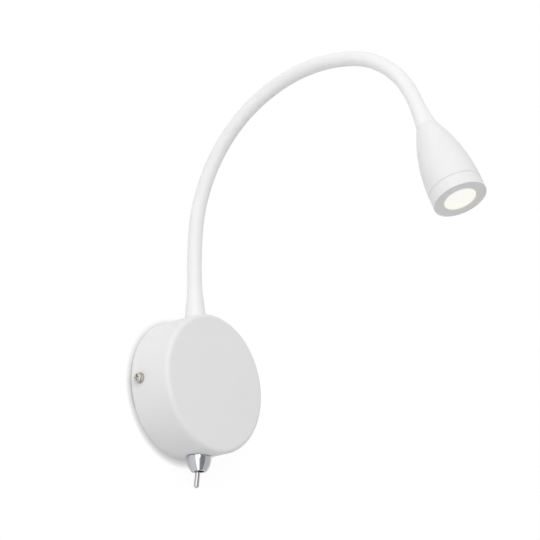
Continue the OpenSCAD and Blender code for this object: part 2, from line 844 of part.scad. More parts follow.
module neck_root_nut() {
    color("silver") on_stem(root_seat - root_washer_t - root_nut_h)
        hex_nut(root_nut_w, root_nut_h, root_thread_d / 2 + fit_gap);
}

// Room in a flared end for a ferrule and the core
module ferrule_room(flange_d, l) {
    translate([0, 0, -cut]) cylinder(h = flange_t + fit_gap + cut, r = flange_d / 2 + fit_gap);
    cylinder(h = flange_t + socket_l + fit_gap, r = socket_r + fit_gap);
    cylinder(h = l + cut, r = sleeve_in_r);
}

module root_sleeve() {
    foot = root_flare_d / 2;
    socket_end(0) difference() {
        rotate_extrude() union() {
            flare_outline(foot, root_l);
            translate([0, -cut]) square([foot, cut]);
        }
        ferrule_room(root_flange_d, root_l);
        translate([0, 0, -root_z]) rotate([90, 0, 0])
            cylinder(h = 2 * root_flare_d, r = canopy_r + fit_gap, center = true);
    }
}

module end_sleeve() {
    ball_end() difference() {
        union() {
            translate([0, 0, end_l]) rotate([180, 0, 0]) rotate_extrude()
                flare_outline(head_flare_d / 2, end_l);
            translate([0, 0, -2 * joint_ball_r]) cylinder(h = 3 * joint_ball_r, r = neck_r);
        }
        translate([0, 0, end_l]) rotate([180, 0, 0]) ferrule_room(head_flange_d, end_l + 2 * joint_ball_r);
    }
}

module neck_sleeve(k) {
    color("white") on_link(k) {
        if (k == 0)
            root_sleeve();
        else if (k == last_link)
            end_sleeve();
        else
            socket_end(k) ball_end() bent_tube(k, neck_r, sleeve_in_r);
    }
}

module neck_core(k) {
    color("darkgray") on_link(k) {
        if (k == 0)
            socket_end(0) translate([0, 0, flange_t]) ring(core_r, core_in_r, root_l - flange_t);
        else if (k == last_link)
            ball_end() translate([0, 0, -2 * joint_ball_r])
                ring(core_r, core_in_r, end_l - flange_t + 2 * joint_ball_r);
        else
            socket_end(k) ball_end() bent_tube(k, core_r, core_in_r);
    }
}

module led_lead() {
    route = concat(smooth_route(lead_in_canopy, 3), lead_in_neck, lead_in_head);
    color("gray") swept_lead(route, lead_d, [1, 0, 0]);
}

// Head

module head_ferrule() {
    on_head() rotate([180, 0, 0]) ferrule(head_thread_d, head_thread_end, head_flange_d);
}

module head_washer() {
    color("silver") on_head(head_seat) ring(head_washer_r, head_thread_d / 2 + hole_gap, head_washer_t);
}

module head_nut() {
    color("silver") on_head(head_seat + head_washer_t)
        hex_nut(head_nut_w, head_nut_h, head_thread_d / 2 + fit_gap);
}

module head_shell() {
    color("whitesmoke") on_head() difference() {
        rotate_extrude() intersection() {
            translate([head_r - shell_side_r, shell_l]) circle(shell_side_r, $fn = 720);
            square([head_d, shell_l]);
        }
        translate([0, 0, -cut]) cylinder(h = head_l, r = head_thread_d / 2 + hole_gap);
        translate([0, 0, head_seat]) cylinder(h = head_l, r = nut_space_r);
        translate([0, 0, sink_back]) cylinder(h = head_l, r = sink_r + fit_gap);
        translate([0, 0, ring_back]) cylinder(h = head_l, r = spigot_r + fit_gap);
    }
}

module head_ring() {
    color("whitesmoke") on_head() difference() {
        union() {
            translate([0, 0, head_l - ring_l]) cylinder(h = ring_l, r = head_r);
            translate([0, 0, ring_back]) cylinder(h = spigot_l + cut, r = spigot_r);
        }
        translate([0, 0, ring_back - cut])
            cylinder(h = head_l - ring_front_t - ring_back + cut, r = stack_r + fit_gap);
        cylinder(h = head_l + cut, d = window_d);
    }
}

module lens() {
    color("lightyellow") on_head(lens_back) {
        cylinder(h = lens_t, r = stack_r);
        cylinder(h = lens_t + ring_front_t - lens_setback, r = window_d / 2 - fit_gap);
    }
}

module at_led_screws() {
    for (side = [0, 180])
        rotate(chip_turn + 90 + side) translate([led_screw_offset, 0, 0]) children();
}

module lens_holder() {
    holder_l = lens_back - board_front;
    color("white") on_head(board_front) difference() {
        cylinder(h = holder_l, r = stack_r);
        translate([0, 0, -sliver])
            cylinder(h = holder_l + 2 * sliver, r1 = holder_floor_r, r2 = holder_mouth_r);
        at_led_screws() translate([0, 0, -cut])
            cylinder(h = led_head_h + 0.3 + cut, r = led_head_d / 2 + hole_gap);
    }
}

module led_board() {
    color("white") on_head(board_back) difference() {
        cylinder(h = led_board_t, r = stack_r - hole_gap);
        at_led_screws() translate([0, 0, -cut])
            cylinder(h = led_board_t + 2 * cut, r = led_screw_d / 2 + hole_gap);
    }
}

module led_chips() {
    color("gold") on_head(board_front) rotate(chip_turn)
        for (side = [-1, 1])
            translate([side * chip_offset, 0, 0]) block(chip_size, chip_size, chip_h);
}

module led_screws() {
    color("silver") on_head(board_front) at_led_screws()
        pan_screw(led_screw_d, led_screw_l, led_head_d, led_head_h);
}

module heat_sink() {
    fin_step = (sink_l - sink_base_t - fin_t) / (fin_count - 1);
    color("silver") on_head(sink_back) difference() {
        union() {
            cylinder(h = sink_l, r = sink_stem_r);
            translate([0, 0, sink_l - sink_base_t]) cylinder(h = sink_base_t, r = sink_r);
            for (i = [0:fin_count - 2])
                translate([0, 0, i * fin_step]) cylinder(h = fin_t, r = sink_r);
        }
        translate([0, lead_hole_y, -cut]) cylinder(h = sink_l + 2 * cut, r = lead_hole_r);
        translate([0, 0, sink_l + led_board_t]) at_led_screws()
            translate([0, 0, -led_screw_l - fit_gap])
                cylinder(h = led_screw_l + cut, r = led_screw_d / 2 + fit_gap);
    }
}

wall_plate();
cable_bushing();
terminal_block();
terminal_tubes();
terminal_screws();
terminal_fixing_screws();
earth_screw();
canopy();
side_screws();
side_screw_washers();
driver_case();
driver_cover();
driver_board();
driver_pad();
mains_leads();
switch_body();
switch_bushing();
switch_lever();
switch_rocker();
switch_lugs();
switch_lock_washer();
switch_nut();
switch_dome_nut();
neck_root_ferrule();
neck_root_washer();
neck_root_nut();
for (k = links)
    neck_sleeve(k);
for (k = links)
    neck_core(k);
led_lead();
head_ferrule();
head_washer();
head_nut();
head_shell();
head_ring();
lens();
lens_holder();
led_board();
led_chips();
led_screws();
heat_sink();
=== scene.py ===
"""Dresses the wall lamp with a seamless neck, the lead inside it, its finishes, a studio and a camera."""
import json
import math

import bpy
import numpy as np
from bpy.props import FloatProperty, FloatVectorProperty, IntProperty, PointerProperty
from mathutils import Matrix, Vector


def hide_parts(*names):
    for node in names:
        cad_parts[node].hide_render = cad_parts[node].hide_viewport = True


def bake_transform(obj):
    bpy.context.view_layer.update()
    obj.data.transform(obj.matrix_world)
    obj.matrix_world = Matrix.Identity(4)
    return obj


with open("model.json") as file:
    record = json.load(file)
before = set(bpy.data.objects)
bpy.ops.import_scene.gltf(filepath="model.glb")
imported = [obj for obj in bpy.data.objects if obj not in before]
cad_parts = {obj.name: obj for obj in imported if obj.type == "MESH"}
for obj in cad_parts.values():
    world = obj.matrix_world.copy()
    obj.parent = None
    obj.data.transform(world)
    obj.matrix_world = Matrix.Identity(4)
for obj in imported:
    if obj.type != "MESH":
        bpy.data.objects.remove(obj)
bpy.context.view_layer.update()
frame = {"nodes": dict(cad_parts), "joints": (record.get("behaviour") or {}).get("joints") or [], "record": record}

bl_info = {
    "name": "Flexible-neck wall lamp",
    "version": (1, 0, 0),
    "blender": (4, 5, 0),
    "location": "3D View > Sidebar > Wall lamp",
    "description": "Dresses the wall lamp's solids with a neck, finishes, studio light and a camera",
    "category": "Object",
}

# The packed lamp
NODES = frame["nodes"]
SLOT_OF = {s["node"]: s["material_slot"] for s in frame["record"]["subparts"]}
COLOUR = {m["slot"]: tuple(m["base_color"]) for m in frame["record"]["materials"]}
NECK_JOINTS = [j for j in frame["joints"] if j["name"].startswith("neck_")]
LAST_LINK = len(NECK_JOINTS)
SWITCH_Y = next(j["pos_m"][1] for j in frame["joints"] if j["name"] == "lever_throw")

# Length on both sides of a link's middle, between it and the points worked out for a stretch's ends
BEND_INSET = 0.0015
# Largest angle between two faces that are shaded as one
SMOOTH_ANGLE = math.radians(40)

# Route of the lead from the driver to the neck, and from the neck to the light board in the head's frame
CANOPY_ROUTE = [
    [0.012, -0.0202, 0.0226],
    [0.012, -0.0202, 0.0265],
    [0.006, -0.0176, 0.0306],
    [0.0, -0.015, 0.0343],
    [0.0, -0.015, 0.0383],
]
HEAD_ROUTE = [[0.0, 0.0, 0.0178], [0.0, 0.005, 0.025], [0.0, 0.005, 0.0419]]

# Paint, plastics, rubber and foam; scale is the grains in a metre
COATS = {
    "white_paint": dict(roughness=0.66, scale=1500.0, strength=0.1, gloss=0.25),
    "black_rubber": dict(roughness=0.75, scale=700.0, strength=0.25),
    "ivory_plastic": dict(roughness=0.45, scale=800.0, strength=0.1),
    "grey_plastic": dict(roughness=0.5, scale=600.0, strength=0.18),
    "pad_foam": dict(roughness=0.9, scale=500.0, strength=0.4),
    "board_green": dict(roughness=0.35, scale=350.0, strength=0.3),
    "lead_brown": dict(roughness=0.5, scale=900.0, strength=0.12),
    "lead_grey": dict(roughness=0.5, scale=900.0, strength=0.12),
    "switch_blue": dict(roughness=0.3, scale=900.0, strength=0.1),
    "holder_white": dict(roughness=0.4, scale=900.0, strength=0.08),
    "board_white": dict(roughness=0.35, scale=500.0, strength=0.15),
    "chip_yellow": dict(roughness=0.5, scale=1500.0, strength=0.2),
}

# Metals; low is the roughness beside a tool mark and high the roughness on it, scale is the marks in a metre,
# and a draw under 1 stretches the marks along Z
METALS = {
    "chrome": dict(low=0.05, high=0.11, scale=2600.0, draw=0.05, strength=0.02),
    "lever_steel": dict(low=0.14, high=0.24, scale=3000.0, draw=1.6, strength=0.06),
    "screw_nickel": dict(low=0.08, high=0.18, scale=2600.0, draw=1.2, strength=0.05),
    "zinc_steel": dict(low=0.3, high=0.46, scale=900.0, draw=0.9, strength=0.08),
    "wound_steel": dict(low=0.35, high=0.5, scale=1500.0, draw=2.5, strength=0.15),
    "brass": dict(low=0.22, high=0.36, scale=1800.0, draw=0.4, strength=0.06),
    "sink_aluminium": dict(low=0.28, high=0.42, scale=2200.0, draw=2.0, strength=0.08),
}

# Reflection cards: azimuths of both edges in degrees, and strength
CARDS = {
    "white_card": (192, 225, 2.2),
    "dark_card": (236, 284, 0.36),
    "grey_card": (284, 350, 0.8),
}
CARD_COLUMNS = 13

# Colour sockets of a Mix node
MIX_FIRST, MIX_SECOND, MIX_RESULT = 6, 7, 2
WHITE = (1.0, 1.0, 1.0, 1.0)


# Sizes and colours

class NeckSizes(bpy.types.PropertyGroup):
    """Sizes of the white sleeve over the neck"""
    radius: FloatProperty(
        name="Radius", description="Outside radius of the sleeve", default=0.0047, unit="LENGTH")
    bore: FloatProperty(
        name="Bore", description="Inside radius of the sleeve", default=0.0036, unit="LENGTH")
    root_flare: FloatProperty(
        name="Root flare", description="Radius of the flare on the canopy", default=0.007, unit="LENGTH")
    head_flare: FloatProperty(
        name="Head flare", description="Radius of the flare on the head", default=0.0064, unit="LENGTH")
    flare_angle: FloatProperty(
        name="Flare angle", description="Half angle of both flares", default=math.radians(6.5),
        subtype="ANGLE")
    blend_radius: FloatProperty(
        name="Blend radius", description="Radius that blends a flare into the sleeve", default=0.09,
        unit="LENGTH")
    foot: FloatVectorProperty(
        name="Foot", description="Where the neck's axis meets the canopy", size=3, subtype="TRANSLATION",
        default=(0.0, -0.015, 0.045))
    end_length: FloatProperty(
        name="Stiff end", description="Length from the last bending point to the head", default=0.022,
        unit="LENGTH")
    sunk: FloatProperty(
        name="Sunk foot", description="How far the foot reaches into the canopy's wall", default=0.0006,
        unit="LENGTH")
    end_round: FloatProperty(
        name="End round", description="Radius of the rounded edge at the head", default=0.0005, unit="LENGTH")
    round_points: IntProperty(name="Round points", description="Points along the rounded edge", default=6)
    ring_step: FloatProperty(
        name="Ring step", description="Distance between two rings of the mesh", default=0.0012, unit="LENGTH")
    sides: IntProperty(name="Sides", description="Points round the sleeve", default=56)


class LeadSizes(bpy.types.PropertyGroup):
    """Sizes of the lead inside the neck"""
    radius: FloatProperty(name="Radius", description="Radius of the lead", default=0.0015, unit="LENGTH")
    sides: IntProperty(name="Sides", description="Points round the lead", default=16)
    ring_step: FloatProperty(
        name="Ring step", description="Distance between two rings of the mesh", default=0.002, unit="LENGTH")
    route_steps: IntProperty(
        name="Route steps", description="Rings from one point of the route in the canopy to the next",
        default=5)


class WindowSizes(bpy.types.PropertyGroup):
    """Places of the light on the window"""
    distance: FloatProperty(
        name="Distance", description="Distance from the neck's end to the window", default=0.0533,
        unit="LENGTH")
    chip_turn: FloatProperty(
        name="Chip turn", description="Turn of the row of chips about the head's axis",
        default=math.radians(64), subtype="ANGLE")
    chip_offset: FloatProperty(
        name="Chip offset", description="Distance from a chip to the head's axis", default=0.0042,
        unit="LENGTH")
    spot_edge: FloatProperty(
        name="Spot edge", description="Radius where a chip's spot fades out", default=0.0036, unit="LENGTH")
    spot_core: FloatProperty(
        name="Spot core", description="Radius where a chip's spot is full", default=0.0002, unit="LENGTH")
    faint_spot: FloatProperty(
        name="Faint spot", description="Strength of the fainter spot, where the other has 1", default=0.45)
    rim_start: FloatProperty(
        name="Rim start", description="Radius where the warm rim starts", default=0.0095, unit="LENGTH")
    rim_end: FloatProperty(
        name="Rim end", description="Radius where the warm rim is full", default=0.0102, unit="LENGTH")


class Finishes(bpy.types.PropertyGroup):
    """Colours of the finishes that show"""
    paint: FloatVectorProperty(
        name="Paint", description="White paint of the canopy and the head", size=3, subtype="COLOR",
        default=(0.79, 0.79, 0.79))
    sleeve: FloatVectorProperty(
        name="Sleeve", description="White sleeve of the neck", size=3, subtype="COLOR",
        default=(0.83, 0.83, 0.83))
    chrome: FloatVectorProperty(
        name="Chrome", description="Dome nut", size=3, subtype="COLOR", default=(0.54, 0.55, 0.58))
    lever: FloatVectorProperty(
        name="Lever", description="Steel of the lever", size=3, subtype="COLOR", default=(0.5, 0.49, 0.47))
    screw: FloatVectorProperty(
        name="Screws", description="Nickel of the side screws", size=3, subtype="COLOR",
        default=(0.5, 0.48, 0.45))
    frost: FloatVectorProperty(
        name="Frost", description="Window without its light", size=3, subtype="COLOR",
        default=(0.3, 0.29, 0.27))
    glow: FloatVectorProperty(
        name="Glow", description="Light of the lit window", size=3, subtype="COLOR",
        default=(0.715, 0.72, 0.69))
    warm_glow: FloatVectorProperty(
        name="Warm glow", description="Light over the two chips", size=3, subtype="COLOR",
        default=(0.77, 0.7, 0.55))
    rim_glow: FloatVectorProperty(
        name="Rim glow", description="Light at the window's rim", size=3, subtype="COLOR",
        default=(0.62, 0.46, 0.26))


class StudioSettings(bpy.types.PropertyGroup):
    """The wall, the floor and the light"""
    sheet_size: FloatProperty(
        name="Sheet size", description="Side of the wall and of the floor", default=3.0, unit="LENGTH")
    wall_gap: FloatProperty(
        name="Wall gap", description="Distance from the wall plate to the wall", default=0.0003,
        unit="LENGTH")
    wall_middle: FloatProperty(
        name="Wall middle", description="Height of the wall's middle", default=0.05, unit="LENGTH")
    floor_drop: FloatProperty(
        name="Floor drop", description="Distance from the lamp's origin down to the floor", default=0.75,
        unit="LENGTH")
    floor_middle: FloatProperty(
        name="Floor middle", description="Distance from the wall to the floor's middle", default=1.2,
        unit="LENGTH")
    wall_grey: FloatProperty(
        name="Wall grey", description="Wall's own grey, which lights the lamp", default=0.95)
    floor_grey: FloatProperty(
        name="Floor grey", description="Floor's own grey, which lights the lamp", default=0.7)
    wall_shade: FloatProperty(
        name="Wall shade", description="Share of the wall's white that the lamps' shadows can take away",
        default=0.1)
    wall_tone: FloatProperty(
        name="Wall tone", description="Share of the wall's white that they can't", default=0.92)
    floor_shade: FloatProperty(
        name="Floor shade", description="Share of the floor's white that the lamps' shadows can take away",
        default=0.7)
    floor_tone: FloatProperty(
        name="Floor tone", description="Share of the floor's white that they can't", default=0.75)
    shadow_reach: FloatProperty(
        name="Shadow reach", description="Width of the shadow where the lamp meets the wall", default=0.0055,
        unit="LENGTH")
    shadow_depth: FloatProperty(
        name="Shadow depth", description="Share of the white that this shadow takes away at most",
        default=0.85)
    shadow_side: FloatVectorProperty(
        name="Shadow side", description="Direction that this shadow falls away from", size=3,
        subtype="DIRECTION", default=(0.05, -0.86, 0.5))
    mirror_tone: FloatProperty(
        name="Mirror tone", description="What brings the wall and the floor up to white in polished metal",
        default=0.12)
    bright_side: FloatVectorProperty(
        name="Bright side", description="Direction that the most light comes from", size=3,
        subtype="DIRECTION", default=(0.0, -0.94, 0.34))
    bright_level: FloatProperty(
        name="Bright level", description="Strength of the even light on its bright side", default=0.76)
    dim_level: FloatProperty(
        name="Dim level", description="Strength of the even light on its dim side", default=0.04)
    key_power: FloatProperty(name="Key", description="Power of the soft light", default=20.0, unit="POWER")
    key_size: FloatProperty(
        name="Key size", description="Diameter of the soft light", default=2.0, unit="LENGTH")
    key_place: FloatVectorProperty(
        name="Key place", description="Where the soft light stands", size=3, subtype="TRANSLATION",
        default=(-1.25, -1.4, 0.75))
    key_aim: FloatVectorProperty(
        name="Key aim", description="Point that the soft light faces", size=3, subtype="TRANSLATION",
        default=(0.0, -0.1, 0.05))
    card_radius: FloatProperty(
        name="Card radius", description="Distance of the reflection cards from the switch", default=0.3,
        unit="LENGTH")
    card_bottom: FloatProperty(
        name="Card bottom", description="Height of the cards' lower edge", default=-1.4, unit="LENGTH")
    card_top: FloatProperty(
        name="Card top", description="Height of the cards' upper edge", default=0.4, unit="LENGTH")


class CameraSettings(bpy.types.PropertyGroup):
    """The photograph's point of view"""
    place: FloatVectorProperty(
        name="Place", description="Where the camera stands", size=3, subtype="TRANSLATION",
        default=(-0.968815, -0.888036, -0.323616))
    azimuth: FloatProperty(
        name="Azimuth", description="Turn to the side", default=math.radians(-50.1276), subtype="ANGLE")
    elevation: FloatProperty(
        name="Elevation", description="Height of the view", default=math.radians(-17.0712), subtype="ANGLE")
    roll: FloatProperty(
        name="Roll", description="Tilt of the picture", default=math.radians(-1.9807), subtype="ANGLE")
    lens: FloatProperty(name="Lens", description="Focal length in millimetres", default=140.42)
    sensor: FloatProperty(name="Sensor", description="Width of the sensor in millimetres", default=36.0)
    nearest: FloatProperty(
        name="Nearest", description="Shortest distance that the camera shows", default=0.01, unit="LENGTH")
    farthest: FloatProperty(
        name="Farthest", description="Longest distance that the camera shows", default=20.0, unit="LENGTH")


# Shapes

class NeckPath:
    """Centreline of the neck in the plane x = 0: straight from the canopy to the first bending point, one
    circular arc from each bending point to the next, and straight to the head. An arc of length s that starts
    at the angle a and turns by f ends at s sinc(f / 2) along the direction a + f / 2, and the next arc starts
    at the angle a + f."""

    def __init__(self, foot, pivots, end_length):
        starts = np.vstack([foot, pivots])[:, 1:]
        chords = np.diff(starts, axis=0)
        spans = np.hypot(*chords.T)
        aims = np.arctan2(-chords[:, 0], chords[:, 1])
        angles = [0.0]
        for aim in aims:
            angles.append(2 * aim - angles[-1])
        angles = np.array(angles)
        turns = np.append(np.diff(angles), 0.0)
        turns[0] = 0.0
        lengths = np.append(spans / np.sinc(turns[:-1] / 2 / np.pi), end_length)
        self.starts, self.angles, self.turns, self.lengths = starts, angles, turns, lengths
        self.marks = np.concatenate([[0.0], np.cumsum(lengths)])
        self.total = self.marks[-1]

    def middle(self, link):
        """Arc length at the middle of a link."""
        return (self.marks[link] + self.marks[link + 1]) / 2

    def at(self, s):
        """Points and angles at the arc lengths s."""
        s = np.atleast_1d(s)
        link = np.clip(np.searchsorted(self.marks, s, side="right") - 1, 0, len(self.lengths) - 1)
        run = s - self.marks[link]
        turn = self.turns[link] * run / self.lengths[link]
        aim = self.angles[link] + turn / 2
        reach = run * np.sinc(turn / 2 / np.pi)
        y = self.starts[link, 0] - reach * np.sin(aim)
        z = self.starts[link, 1] + reach * np.cos(aim)
        return np.stack([np.zeros_like(y), y, z], axis=-1), self.angles[link] + turn

    def head_points(self, local):
        """Points given in the head's frame, with z along the head from the neck."""
        end, angle = self.at(self.total)
        a = angle[0]
        turn = np.array([[1, 0, 0], [0, np.cos(a), -np.sin(a)], [0, np.sin(a), np.cos(a)]])
        return end[0] + np.asarray(local) @ turn.T


def neck_path():
    """The neck's centreline through the frame's bending points."""
    sizes = bpy.context.scene.lamp_neck
    return NeckPath(np.array(sizes.foot), np.array([j["pos_m"] for j in NECK_JOINTS]), sizes.end_length)


def stretches(path):
    """Each bending point's number, with the arc lengths where its stretch of the neck starts and ends."""
    for link in range(1, LAST_LINK + 1):
        start = path.middle(link - 1) if link > 1 else 0.0
        end = path.middle(link) if link < LAST_LINK else path.total
        yield link, start, end


def even_steps(start, end, step):
    """Evenly spaced arc lengths from start to end, no further apart than the step."""
    return np.linspace(start, end, int(math.ceil((end - start) / step)) + 1)


def flare_radius(s, end_radius, sizes):
    """Radius of a flare at the distance s from its end: a straight cone of the flare angle, then an arc of
    the blend radius that leaves the cone and runs into the sleeve without a kink."""
    a, bend = sizes.flare_angle, sizes.blend_radius
    cone = (end_radius - sizes.radius - bend * (1 - math.cos(a))) / math.tan(a)
    meet = cone + bend * math.sin(a)
    arc = sizes.radius + bend - np.sqrt(bend ** 2 - np.clip(meet - s, 0, bend * math.sin(a)) ** 2)
    return np.where(s < cone, end_radius - np.maximum(s, 0) * math.tan(a), arc)


def round_loss(s, size):
    """What a quarter round of that size takes off the radius at the distance s from the end."""
    return size - np.sqrt(size ** 2 - np.clip(size - s, 0, size) ** 2)


def ring_grid(points, across, up, radius, sides):
    """Grid of points round a path: each path point plus its radius times cos v across and sin v up."""
    v = np.linspace(0, 2 * np.pi, sides, endpoint=False)
    spokes = np.cos(v)[None, :, None] * across[:, None] + np.sin(v)[None, :, None] * up[:, None]
    return points[:, None] + np.asarray(radius)[:, None, None] * spokes


def ring_uv(run, sides):
    """UV map of such a grid: the length along the path, and the share of the way round it."""
    return np.stack(np.meshgrid(run, np.arange(sides) / sides, indexing="ij"), axis=-1)


def grid_faces(rows, columns, closed):
    """Four-sided faces of a grid whose columns go round; closed joins the last row to the first."""
    i = np.arange(rows if closed else rows - 1)[:, None]
    j = np.arange(columns)[None, :]
    below, above, right = i * columns, (i + 1) % rows * columns, (j + 1) % columns
    return np.stack([below + j, below + right, above + right, above + j], axis=-1).reshape(-1, 4)


def path_frame(points):
    """Directions across and up at each point of a path, square to its run and never turned about X."""
    run = np.gradient(points, axis=0)
    run /= np.linalg.norm(run, axis=1, keepdims=True)
    up = np.cross(run, [1.0, 0.0, 0.0])
    up /= np.linalg.norm(up, axis=1, keepdims=True)
    return np.cross(up, run), up


def smooth_path(points, steps):
    """Cubic curve through points, with the slope at each point taken from its two neighbours."""
    p = np.vstack([points[:1], points, points[-1:]])
    a, b, c, d = (p[i:len(p) - 3 + i, None] for i in range(4))
    t = (np.arange(steps) / steps)[None, :, None]
    curve = (b + (c - a) * t / 2
             + (2 * a - 5 * b + 4 * c - d) * t ** 2 / 2
             + (3 * b - a - 3 * c + d) * t ** 3 / 2)
    return np.vstack([curve.reshape(-1, 3), points[-1:]])


def mesh_object(name, points, faces):
    """Object in the scene with a mesh of those points and faces."""
    mesh = bpy.data.meshes.new(name)
    mesh.from_pydata(points.reshape(-1, 3).tolist(), [], faces)
    made = bpy.data.objects.new(name, mesh)
    bpy.context.scene.collection.objects.link(made)
    return made


def lamp_piece(name, points, faces, uv, caps=()):
    """Smooth piece of the lamp, with a UV map given for each point, and flat caps as single faces."""
    piece = mesh_object(name, points, faces.tolist() + [list(c) for c in caps])
    mesh = piece.data
    corner = np.empty(len(mesh.loops), dtype=np.int32)
    mesh.loops.foreach_get("vertex_index", corner)
    layer = mesh.uv_layers.new(name="Length")
    layer.data.foreach_set("uv", uv.reshape(-1, 2)[corner].astype(np.float32).ravel())
    mesh.shade_smooth()
    mesh.set_sharp_from_angle(angle=SMOOTH_ANGLE)
    mesh.update()
    return piece


def bend_between(piece, path, link):
    """Works out the points near the middles of the links on both sides of a bending point, and bakes the piece's
    place into its mesh."""
    ends, _ = path.at([path.middle(link - 1) + BEND_INSET, path.middle(link) - BEND_INSET])
    tuple(ends[0])
    tuple(ends[1])
    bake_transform(piece)


# Shader nodes

def set_or_link(tree, socket, value):
    """Links an output to an input socket, or sets the socket to a plain value."""
    if isinstance(value, bpy.types.NodeSocket):
        tree.links.new(value, socket)
    else:
        socket.default_value = value


def add(tree, kind, **sockets):
    """New node whose named inputs are linked or set."""
    node = tree.nodes.new(kind)
    for label, value in sockets.items():
        set_or_link(tree, node.inputs[label.replace("_", " ")], value)
    return node


def add_math(tree, operation, *values, kind="ShaderNodeMath"):
    """New math node whose inputs are linked or set in their order."""
    node = tree.nodes.new(kind)
    node.operation = operation
    for socket, value in zip(node.inputs, values):
        set_or_link(tree, socket, value)
    return node


def add_vector_math(tree, operation, *values):
    """New vector math node whose inputs are linked or set in their order."""
    return add_math(tree, operation, *values, kind="ShaderNodeVectorMath")


def coordinates(tree, kind):
    """Output of a new Texture Coordinate node."""
    return tree.nodes.new("ShaderNodeTexCoord").outputs[kind]


def opaque(colour, share=1.0):
    """A share of a colour, with full alpha."""
    return (*(c * share for c in colour), 1.0)


def mix_colours(tree, share, first, second):
    """First colour where the share is 0, second where it is 1."""
    mix = tree.nodes.new("ShaderNodeMix")
    mix.data_type = "RGBA"
    set_or_link(tree, mix.inputs["Factor"], share)
    set_or_link(tree, mix.inputs[MIX_FIRST], first)
    set_or_link(tree, mix.inputs[MIX_SECOND], second)
    return mix.outputs[MIX_RESULT]


def mix_shaders(tree, share, first, second):
    """First shader where the share is 0, second where it is 1."""
    mixed = tree.nodes.new("ShaderNodeMixShader")
    for socket, source in zip(mixed.inputs, (share, first, second)):
        tree.links.new(source, socket)
    return mixed.outputs["Shader"]


def two_layers(tree, lit_colour, own_colour, strength):
    """Sum of a matt layer that the lamps light and a layer that shines on its own."""
    both = tree.nodes.new("ShaderNodeAddShader")
    lit = add(tree, "ShaderNodeBsdfDiffuse", Color=lit_colour)
    own = add(tree, "ShaderNodeEmission", Color=own_colour, Strength=strength)
    tree.links.new(lit.outputs["BSDF"], both.inputs[0])
    tree.links.new(own.outputs["Emission"], both.inputs[1])
    return both.outputs["Shader"]


def group_tree(name, inputs, outputs):
    """New node group with number sockets, and its input and output nodes."""
    tree = bpy.data.node_groups.new(name, "ShaderNodeTree")
    for label, value in inputs.items():
        socket = tree.interface.new_socket(name=label, in_out="INPUT", socket_type="NodeSocketFloat")
        socket.default_value = value
    for label in outputs:
        tree.interface.new_socket(name=label, in_out="OUTPUT", socket_type="NodeSocketFloat")
    return tree, tree.nodes.new("NodeGroupInput"), tree.nodes.new("NodeGroupOutput")


def grain_group():
    """Fine relief of a coat or moulding, and soft patches a few centimetres wide."""
    tree, inside, out = group_tree(
        "Surface grain", {"Scale": 900.0, "Patch scale": 30.0}, ["Height", "Patches"])
    place = coordinates(tree, "Object")
    fine = add(tree, "ShaderNodeTexNoise",
               Vector=place, Scale=inside.outputs["Scale"], Detail=3.0, Roughness=0.6)
    wide = add(tree, "ShaderNodeTexNoise", Vector=place, Scale=inside.outputs["Patch scale"], Detail=2.0)
    tree.links.new(fine.outputs["Fac"], out.inputs["Height"])
    tree.links.new(wide.outputs["Fac"], out.inputs["Patches"])


def marks_group():
    """Fine marks as polishing or turning leaves, and their depth. A draw under 1 stretches them along Z."""
    tree, inside, out = group_tree("Tool marks", {"Scale": 2500.0, "Draw": 0.04}, ["Marks", "Height"])
    stretch = add(tree, "ShaderNodeCombineXYZ", X=1.0, Y=1.0, Z=inside.outputs["Draw"])
    drawn = add_vector_math(tree, "MULTIPLY", coordinates(tree, "Object"), stretch.outputs["Vector"])
    noise = add(tree, "ShaderNodeTexNoise",
                Vector=drawn.outputs["Vector"], Scale=inside.outputs["Scale"], Detail=4.0)
    fine = add(tree, "ShaderNodeMapRange", Value=noise.outputs["Fac"], From_Min=0.35, From_Max=0.75)
    tree.links.new(fine.outputs["Result"], out.inputs["Marks"])
    tree.links.new(noise.outputs["Fac"], out.inputs["Height"])


def use_group(tree, group, **values):
    """A node group placed in a material with its own values."""
    node = add(tree, "ShaderNodeGroup")
    node.node_tree = bpy.data.node_groups[group]
    for label, value in values.items():
        node.inputs[label.replace("_", " ")].default_value = value
    return node


# Finishes

def blank_material(name):
    """New finish, with its node tree and its shader."""
    material = bpy.data.materials.new(f"finish_{name}")
    material.use_nodes = True
    tree = material.node_tree
    return material, tree, tree.nodes["Principled BSDF"]


def two_tone(tree, shader, mask, colour, darker):
    """Base colour between a darker share of a colour and the colour itself."""
    tone = mix_colours(tree, mask, opaque(colour, darker), opaque(colour))
    tree.links.new(tone, shader.inputs["Base Color"])


def rough_range(tree, shader, mask, low, high):
    """Roughness that goes from low to high over the middle of a mask's range."""
    span = add(tree, "ShaderNodeMapRange", Value=mask, From_Min=0.3, From_Max=0.7, To_Min=low, To_Max=high)
    tree.links.new(span.outputs["Result"], shader.inputs["Roughness"])


def relief(tree, shader, height, depth, strength):
    """Bump of that depth in metres."""
    bump = add(tree, "ShaderNodeBump", Height=height, Distance=depth, Strength=strength)
    tree.links.new(bump.outputs["Normal"], shader.inputs["Normal"])


def coated(name, colour, roughness, scale, strength, gloss=0.5):
    """Paint, plastic, rubber or foam: fine relief, and patches of tone and gloss."""
    darker, spread, depth = 0.97, 0.04, 0.0002
    material, tree, shader = blank_material(name)
    grain = use_group(tree, "Surface grain", Scale=scale)
    shader.inputs["Specular IOR Level"].default_value = gloss
    two_tone(tree, shader, grain.outputs["Patches"], colour, darker)
    rough_range(tree, shader, grain.outputs["Patches"], roughness - spread, roughness + spread)
    relief(tree, shader, grain.outputs["Height"], depth, strength)
    return material


